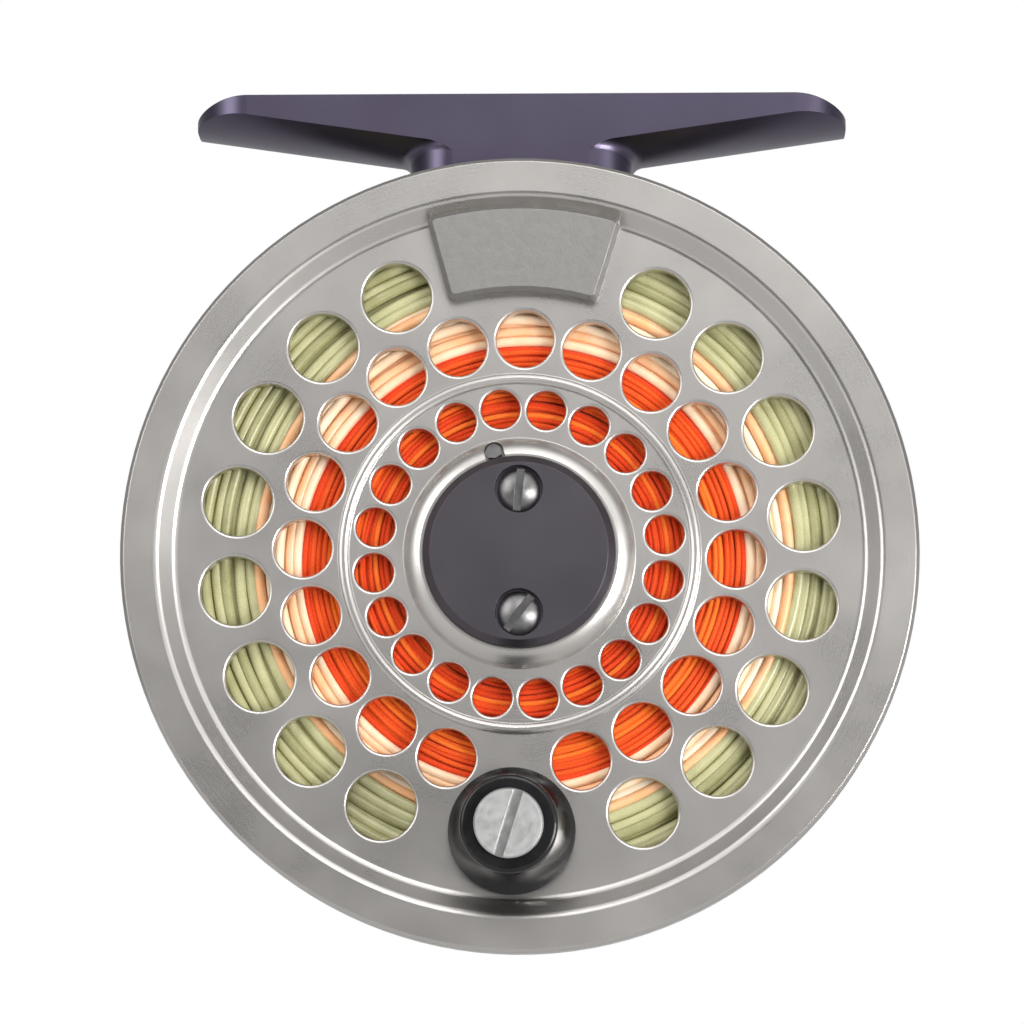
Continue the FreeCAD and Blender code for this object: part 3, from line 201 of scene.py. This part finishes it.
def satin_metal(name, colour, roughness, grain, depth, edge=0.06 * MM):
    """Blasted and anodised aluminium: fine grain, faint turning marks, uneven sheen."""
    skin = Surface(name, Metallic=1.0)
    grains = skin.noise(grain, detail=3.0)
    clouds = skin.noise(9 * MM, detail=4.0)
    turning = skin.turning(0.22 * MM, AXLE)
    tone = skin.mixed((clouds, 0.6), (grains, 0.4))
    skin.colour(tone, ((0.3, shade(colour, 0.93)), (0.7, shade(colour, 1.05))))
    sheen = skin.mixed((clouds, 0.8), (turning, 0.2))
    skin.roughness(sheen, roughness - 0.03, roughness + 0.03)
    skin.bump(skin.mixed((grains, 1.0), (turning, 0.03)), depth, edge)
    return skin.material


def turned_metal(name, colour, roughness, centre=AXLE, mottle=0.82, slot_shade_y=None):
    """Turned steel or brass with brighter worn spots. In a screw's slot, past a given plane
    across Y, it is darkened by painted shade."""
    skin = Surface(name, Metallic=1.0)
    turning = skin.turning(0.12 * MM, centre, detail=3.0)
    spots = skin.noise(0.8 * MM, detail=5.0)
    if slot_shade_y is None:
        skin.colour(spots, ((0.35, shade(colour, mottle)), (0.65, colour)))
    else:
        # Clean metal takes the upper half of the ramp, and the painted shade deep in the slot the
        # lower half.
        lift = skin.spread(skin.split(skin.place())["Y"], 0.5, 0.0, slot_shade_y, slot_shade_y + 0.1 * MM)
        tone = skin.math("ADD", skin.math("MULTIPLY", spots, 0.5), lift)
        skin.colour(tone, ((0.2, shade(colour, 0.55)), (0.3, shade(colour, 0.62)),
                           (0.675, shade(colour, mottle)), (0.825, colour)))
    worn = skin.mixed((turning, 0.5), (spots, 0.5))
    skin.roughness(worn, roughness - 0.06, roughness + 0.1)
    skin.bump(turning, 0.004 * MM, 0.05 * MM)
    return skin.material


def cast_metal(name, colour):
    """A cast weight: mottled grey skin with small pits."""
    skin = Surface(name, Metallic=1.0)
    mottle = skin.noise(1.1 * MM, detail=6.0)
    grit = skin.noise(0.12 * MM, detail=4.0)
    tone = skin.mixed((mottle, 0.6), (grit, 0.4))
    skin.colour(tone, ((0.3, shade(colour, 0.8)), (0.5, colour), (0.7, shade(colour, 1.15))))
    skin.roughness(tone, 0.52, 0.36, 0.35, 0.65)
    skin.bump(tone, 0.03 * MM, 0.1 * MM)
    return skin.material


def glossy_black(name):
    """Polished black resin with faint handling scratches in its gloss."""
    skin = Surface(name, Specular_IOR_Level=0.4)
    clouds = skin.noise(2.5 * MM, detail=5.0)
    fine = skin.noise(0.15 * MM, detail=3.0)
    skin.colour(clouds, ((0.3, (0.006, 0.006, 0.007)), (0.7, (0.014, 0.013, 0.014))))
    skin.roughness(skin.mixed((clouds, 0.7), (fine, 0.3)), 0.14, 0.22, 0.35, 0.65)
    skin.bump(fine, 0.002 * MM, 0.12 * MM)
    return skin.material


def coated_line(name, dark, light, roughness):
    """Smooth plastic-coated line, its tone drifting along it and from turn to turn."""
    skin = Surface(name, Subsurface_Weight=0.15, Subsurface_Scale=1.0,
                   Subsurface_Radius=(0.6 * MM, 0.5 * MM, 0.3 * MM), Specular_IOR_Level=0.6)
    drift = skin.noise(2.2 * MM, detail=3.0)
    fine = skin.noise(0.1 * MM, detail=3.0)
    skin.colour(skin.mixed((drift, 0.5), (skin.strand(), 0.5)), ((0.25, dark), (0.75, light)))
    skin.roughness(fine, roughness - 0.06, roughness + 0.08)
    skin.bump(fine, 0.006 * MM)
    return skin.material


# How far the braid of the backing runs, in mm, before its pattern repeats.
BRAID_PITCH = 0.45


def braided_line(name, dark, light):
    """Woven backing: a braid of crossed yarns with loose fibre between them."""
    skin = Surface(name, Sheen_Weight=0.08, Sheen_Roughness=0.5, Specular_IOR_Level=0.25)
    along = skin.split(skin.add("ShaderNodeTexCoord").outputs["UV"])
    run = skin.math("MULTIPLY", along["X"], 2 * math.pi / BRAID_PITCH)
    turn = skin.math("MULTIPLY", along["Y"], 4 * math.pi)
    left = skin.math("SINE", skin.math("ADD", run, turn))
    right = skin.math("SINE", skin.math("SUBTRACT", run, turn))
    weave = skin.math("MAXIMUM", left, right)
    fibre = skin.noise(0.09 * MM, detail=5.0)
    tone = skin.mixed((fibre, 0.45), (skin.strand(), 0.4), (weave, 0.03))
    skin.colour(tone, ((0.2, dark), (0.62, light)))
    skin.roughness(fibre, 0.45, 0.75)
    skin.bump(skin.mixed((weave, 0.3), (fibre, 1.0)), 0.016 * MM)
    return skin.material


knob_low, knob_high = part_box("handle_knob")
KNOB_AXIS = 0.5 * (knob_low + knob_high)
# The painted shade in the knob screw's slot begins this far below the top of its head.
SLOT_SHADE_DEPTH = 0.25 * MM

FINISH = {
    "spool_metal": satin_metal("spool_satin", (0.62, 0.595, 0.57), roughness=0.29,
                               grain=0.09 * MM, depth=0.003 * MM, edge=0.14 * MM),
    "frame_metal": satin_metal("frame_gunmetal", (0.115, 0.10, 0.15), roughness=0.32,
                               grain=0.06 * MM, depth=0.004 * MM),
    "cover_metal": satin_metal("cover_satin", (0.125, 0.115, 0.132), roughness=0.33,
                               grain=0.05 * MM, depth=0.004 * MM),
    "brass": turned_metal("turned_brass", (0.70, 0.50, 0.22), roughness=0.28),
    "steel": turned_metal("turned_steel", (0.56, 0.56, 0.57), roughness=0.28),
    "latch_steel": turned_metal("latch_steel", (0.30, 0.29, 0.29), roughness=0.3),
    "screw_steel": turned_metal("screw_steel", (0.22, 0.215, 0.215), roughness=0.33),
    "cast_weight": cast_metal("cast_pewter", (0.31, 0.30, 0.29)),
    "knob": glossy_black("knob_resin"),
    "backing": braided_line("braided_orange", dark=(0.72, 0.028, 0.001), light=(1.0, 0.2, 0.018)),
    "running_line": coated_line("peach_coating", dark=(1.0, 0.5, 0.23), light=(1.0, 0.85, 0.64),
                                roughness=0.35),
    "fly_line": coated_line("olive_coating", dark=(0.28, 0.275, 0.115),
                            light=(0.53, 0.515, 0.28), roughness=0.26),
}

FINISH_OF_NODE = {
    # The knob screw's steel is painted darker deep in its slot, as shade.
    "knob_screw": turned_metal("knob_screw_steel", (0.63, 0.625, 0.62), roughness=0.36,
                               centre=KNOB_AXIS, mottle=0.95,
                               slot_shade_y=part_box("knob_screw")[0].y + SLOT_SHADE_DEPTH),
}


def finish_cad_nodes():
    for row in frame["record"]["subparts"]:
        mesh = frame["nodes"][row["node"]].data
        mesh.materials.clear()
        mesh.materials.append(FINISH_OF_NODE.get(row["node"]) or FINISH[row["material_slot"]])


# ---- wound line ----------------------------------------------------------------------------

# Points round a turn of line, and the radius of the spool's bare arbor.
AROUND = 200
ARBOR_RADIUS = 9.5 * MM


def half_width(node):
    low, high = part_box(node)
    return 0.5 * (high.x - low.x)


BACKING_RADIUS = half_width("backing_line")
RUNNING_RADIUS = half_width("running_line")
OUTER_RADIUS = half_width("fly_line")
INNER_RADIUS = {
    "backing_line": ARBOR_RADIUS,
    "running_line": BACKING_RADIUS,
    "fly_line": RUNNING_RADIUS,
}

# The line went on unevenly. At each of these radii, where one winding ends and the next
# begins, a turn is wider by its swell and is shifted towards +X and +Z by two more lengths.
# At the arbor and at the outside a turn is true.
LAY_RADII = (ARBOR_RADIUS, BACKING_RADIUS, RUNNING_RADIUS, OUTER_RADIUS)
LAY_SWELL = (0, 0.65 * MM, 0.5 * MM, 0)
LAY_RIGHT = (0, 0.5 * MM, 0.45 * MM, 0)
LAY_UP = (0, -0.9 * MM, 0.1 * MM, 0)


def lie(radius, angle):
    """How far a turn wound at a radius lies out of round at an angle from +X."""
    swell = np.interp(radius, LAY_RADII, LAY_SWELL)
    right = np.interp(radius, LAY_RADII, LAY_RIGHT)
    up = np.interp(radius, LAY_RADII, LAY_UP)
    return swell + right * np.cos(angle) + up * np.sin(angle)


# A turn wavers by waves that fit round it this many times. The decay makes short waves low.
WAVES = (1, 2, 3, 4, 6)
WAVE_DECAY = 0.7


class Strands:
    """Closed turns of line about the axle, gathered into one mesh."""

    def __init__(self, seed, sides):
        self.random = np.random.default_rng(seed)
        self.sides = sides
        self.points = []
        self.shades = []
        self.faces = []
        self.map = []

    def turn(self, radius, y, thickness, waver, limits):
        """One turn of line that wavers about a radius and a place y along the axle, and stays
        between the two places in limits."""
        angle = np.linspace(0, 2 * math.pi, AROUND, endpoint=False)
        out = radius + lie(radius, angle)
        along = np.full(AROUND, y)
        for order in WAVES:
            phase = self.random.uniform(0, 2 * math.pi, 2)
            size = self.random.uniform(0.3, 1.0, 2) * waver / order ** WAVE_DECAY
            out += size[0] * np.sin(order * angle + phase[0])
            along += 0.5 * size[1] * np.sin(order * angle + phase[1])
        half = 0.5 * thickness
        out = np.clip(out, ARBOR_RADIUS + half, OUTER_RADIUS - half)
        along = np.clip(along, limits[0] + half, limits[1] - half)
        self.tube(angle, out, along, half)
        self.shades.append(np.full(AROUND * self.sides, self.random.uniform(0, 1)))
        self.unroll(radius * 2 * math.pi / AROUND / MM)

    def tube(self, angle, out, along, half):
        """Points and faces of a closed tube of radius half along a path about the axle."""
        around = np.linspace(0, 2 * math.pi, self.sides, endpoint=False)
        ring = out[:, None] + half * np.cos(around)[None, :]
        deep = along[:, None] + half * np.sin(around)[None, :]
        x = ring * np.cos(angle)[:, None]
        z = AXLE.z + ring * np.sin(angle)[:, None]
        start = len(self.points) * AROUND * self.sides
        self.points.append(np.stack((x, deep, z), axis=-1).reshape(-1, 3))
        step, side = self.grid()
        after, beside = (step + 1) % AROUND, (side + 1) % self.sides
        corners = (step * self.sides + side, after * self.sides + side,
                   after * self.sides + beside, step * self.sides + beside)
        self.faces.append(start + np.stack(corners, axis=-1).reshape(-1, 4)[:, ::-1])

    def unroll(self, length):
        """The tube's UV map: U goes along it by length at each step, and V goes once round it."""
        step, side = self.grid()
        u = np.stack((step, step + 1, step + 1, step), axis=-1) * length
        v = np.stack((side, side, side + 1, side + 1), axis=-1) / self.sides
        self.map.append(np.stack((u, v), axis=-1).reshape(-1, 4, 2)[:, ::-1])

    def grid(self):
        """Every face of a tube, by its step along and its side."""
        return np.meshgrid(np.arange(AROUND), np.arange(self.sides), indexing="ij")

    def mesh(self, name):
        mesh = bpy.data.meshes.new(name)
        faces = np.concatenate(self.faces)
        mesh.from_pydata(np.concatenate(self.points).tolist(), [], faces.tolist())
        mesh.attributes.new("strand", "FLOAT", "POINT").data.foreach_set(
            "value", np.concatenate(self.shades).astype(np.float32))
        uv = mesh.uv_layers.new(name="along")
        uv.data.foreach_set("uv", np.concatenate(self.map).astype(np.float32).ravel())
        mesh.shade_smooth()
        return mesh


# How the turns pack: the pitch between turns, in thicknesses of the line, and then the steps
# inwards from a flange and between the outer layers, in pitches.
PITCH = 0.97
FLANGE_STEP = 0.62
OUTER_STEP = 0.85
# A plain round ring fills the middle of a winding, and is narrower than the winding by at
# least this many thicknesses of line.
CORE_MARGIN = 2.5


def wind(node, thickness, seed, waver, deep, outside, sides, slot):
    """Line wound in layers: each has deep turns inwards from both flanges, and the outside
    layers have turns all the way across."""
    low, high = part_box(node)
    limits = low.y, high.y
    inner, outer = INNER_RADIUS[node], half_width(node)
    strands = Strands(seed, sides)
    half = 0.5 * thickness
    pitch = PITCH * thickness
    layers = round((outer - inner) / pitch)
    radii = inner + (np.arange(layers) + 0.5) * (outer - inner) / layers
    for layer, radius in enumerate(radii):
        shift = 0.5 * pitch * (layer % 2)
        for turn in range(deep):
            inset = half + 0.4 * waver + 0.4 * shift + turn * FLANGE_STEP * pitch
            nested = radius + 0.5 * pitch * (turn % 2)
            strands.turn(nested, low.y + inset, thickness, waver, limits)
            strands.turn(nested, high.y - inset, thickness, waver, limits)
    across = np.arange(low.y + half + deep * pitch, high.y - half - (deep - 1) * pitch, pitch)
    for layer in range(outside):
        radius = outer - half - 0.5 * waver - layer * OUTER_STEP * pitch
        for y in across + 0.5 * pitch * layer:
            strands.turn(radius, y, thickness, 0.5 * waver, limits)
    core = min(high.y - low.y - CORE_MARGIN * thickness, outer - inner)
    strands.turn(0.5 * (inner + outer), 0.5 * (low.y + high.y), core, 0, limits)
    piece = bpy.data.objects.new(node + "_wound", strands.mesh(node + "_wound"))
    bpy.context.scene.collection.objects.link(piece)
    piece.data.materials.append(FINISH[slot])
    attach(piece, "spool")
    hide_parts(node)


# ---- stage ---------------------------------------------------------------------------------

def toward(azimuth, elevation):
    """A direction: azimuth from the handle's side towards +X, elevation above it, in degrees."""
    side, rise = math.radians(azimuth), math.radians(elevation)
    return Vector((math.sin(side) * math.cos(rise), -math.cos(side) * math.cos(rise),
                   math.sin(rise)))


# The lens stands off the rim's face and aims a little above and beside the axle. FRAME_WIDTH
# is how much it takes in at that distance.
CAMERA_DISTANCE = 500 * MM
CAMERA_DIRECTION = toward(1.3, -6.5)
AIM_OFFSET = Vector((-0.67 * MM, 0.0, 3.8 * MM))
FRAME_WIDTH = 97.47 * MM
SENSOR = 36.0
NEAREST, FARTHEST = 0.01, 20.0


def make_camera():
    data = bpy.data.cameras.new("camera")
    data.sensor_width = SENSOR
    data.lens = SENSOR * CAMERA_DISTANCE / FRAME_WIDTH
    data.clip_start, data.clip_end = NEAREST, FARTHEST
    camera = bpy.data.objects.new("camera", data)
    face = Vector((0.0, RIM_FACE_Y, AXLE.z))
    camera.location = face + CAMERA_DIRECTION * CAMERA_DISTANCE
    camera.rotation_mode = "QUATERNION"
    camera.rotation_quaternion = (face + AIM_OFFSET - camera.location).to_track_quat("-Z", "Y")
    bpy.context.scene.collection.objects.link(camera)
    bpy.context.scene.camera = camera


FLOOR_DROP = 85 * MM
FLOOR_RADIUS = 450 * MM
FLOOR_DARK = (0.70, 0.70, 0.70)
FLOOR_LIGHT = (0.74, 0.74, 0.74)


def make_floor():
    """A pale disc well below the reel."""
    height = cad_box[0].z - FLOOR_DROP
    bpy.ops.mesh.primitive_circle_add(vertices=128, radius=FLOOR_RADIUS, fill_type="NGON",
                                      location=(0, 0, height))
    floor = bpy.context.object
    floor.name = "floor"
    skin = Surface("pale_floor", Roughness=0.7)
    skin.colour(skin.noise(4 * MM, detail=3.0), ((0.3, FLOOR_DARK), (0.7, FLOOR_LIGHT)))
    floor.data.materials.append(skin.material)


# Soft patches of the studio: direction, how many degrees to half brightness, brightness.
PATCHES = (
    (toward(7, 32), 12.5, 4.7),
    (toward(75, -24), 20.0, 0.36),
    (toward(180, 0), 60.0, 0.5),
)
# The tent's own brightness, and how much its sides add to it.
BASE_LEVEL = 0.03
SIDE_LEVEL = 0.12
# A ring of diffusers about the lens: the cosine of its angle, its width in that cosine, its
# brightness, the share of that at its bottom, and the heights between which it brightens.
RING_COSINE = 0.54
RING_WIDTH = 0.18
RING_LEVEL = 1.25
RING_BOTTOM = 0.3
RING_DIM_TO, RING_FULL_FROM = -0.6, 0.1
WHITE = (1.0, 1.0, 1.0, 1.0)


def tent_level(nodes):
    """Brightness of the studio in every direction."""
    direction = nodes.add("ShaderNodeTexCoord").outputs["Generated"]
    parts = nodes.split(direction)
    ahead = nodes.math("MULTIPLY", parts["Y"], parts["Y"])
    sides = nodes.math("MULTIPLY", nodes.math("SUBTRACT", 1.0, ahead), SIDE_LEVEL)
    level = nodes.math("ADD", sides, BASE_LEVEL)
    off_ring = nodes.math("ABSOLUTE", nodes.math("ADD", parts["Y"], RING_COSINE))
    narrow = nodes.math("POWER", nodes.math("DIVIDE", off_ring, RING_WIDTH), 2.0)
    ring = nodes.math("EXPONENT", nodes.math("MULTIPLY", narrow, -1.0))
    rise = nodes.spread(parts["Z"], RING_BOTTOM * RING_LEVEL, RING_LEVEL,
                        RING_DIM_TO, RING_FULL_FROM)
    level = nodes.math("ADD", nodes.math("MULTIPLY", ring, rise), level)
    for centre, half_angle, brightness in PATCHES:
        near = nodes.vector_math("DOT_PRODUCT", direction, centre)["Value"]
        sharpness = math.log(2) / (1 - math.cos(math.radians(half_angle)))
        power = nodes.math("MULTIPLY", nodes.math("SUBTRACT", near, 1.0), sharpness)
        patch = nodes.math("MULTIPLY", nodes.math("EXPONENT", power), brightness)
        level = nodes.math("ADD", patch, level)
    return level


def make_world():
    """A dim tent with soft bright patches, and white behind the object for the lens."""
    world = bpy.data.worlds.new("studio")
    bpy.context.scene.world = world
    world.use_nodes = True
    nodes = Nodes(world.node_tree)
    tent = nodes.add("ShaderNodeBackground", Color=WHITE)
    nodes.link(tent_level(nodes), tent.inputs["Strength"])
    backdrop = nodes.add("ShaderNodeBackground", Color=WHITE, Strength=1.0)
    choose = nodes.add("ShaderNodeMixShader")
    nodes.link(nodes.add("ShaderNodeLightPath").outputs["Is Camera Ray"], choose.inputs[0])
    nodes.link(tent.outputs[0], choose.inputs[1])
    nodes.link(backdrop.outputs[0], choose.inputs[2])
    output = nodes.add("ShaderNodeOutputWorld")
    nodes.link(choose.outputs[0], output.inputs["Surface"])


LIGHT_DISTANCE = 600 * MM


def area_light(name, direction, size, power):
    """A soft light that faces the axle: its direction, width and height in metres, and watts."""
    data = bpy.data.lights.new(name, "AREA")
    data.shape = "RECTANGLE"
    data.size, data.size_y = size
    data.energy = power
    lamp = bpy.data.objects.new(name, data)
    lamp.location = AXLE + LIGHT_DISTANCE * direction
    lamp.rotation_mode = "QUATERNION"
    lamp.rotation_quaternion = (AXLE - lamp.location).to_track_quat("-Z", "Y")
    bpy.context.scene.collection.objects.link(lamp)


# ---- the scene -----------------------------------------------------------------------------

finish_cad_nodes()
wind("backing_line", 0.52 * MM, seed=3, waver=0.16 * MM, deep=3, outside=0, sides=8,
     slot="backing")
wind("running_line", 1.0 * MM, seed=5, waver=0.2 * MM, deep=2, outside=0, sides=12,
     slot="running_line")
wind("fly_line", 1.14 * MM, seed=8, waver=0.22 * MM, deep=3, outside=2, sides=14,
     slot="fly_line")

make_camera()
make_floor()
make_world()
area_light("key", toward(41, -15), (0.32, 0.32), 5.2)
area_light("fill", toward(-42, 20), (0.26, 0.40), 0.9)
bpy.context.scene.view_settings.view_transform = "Standard"
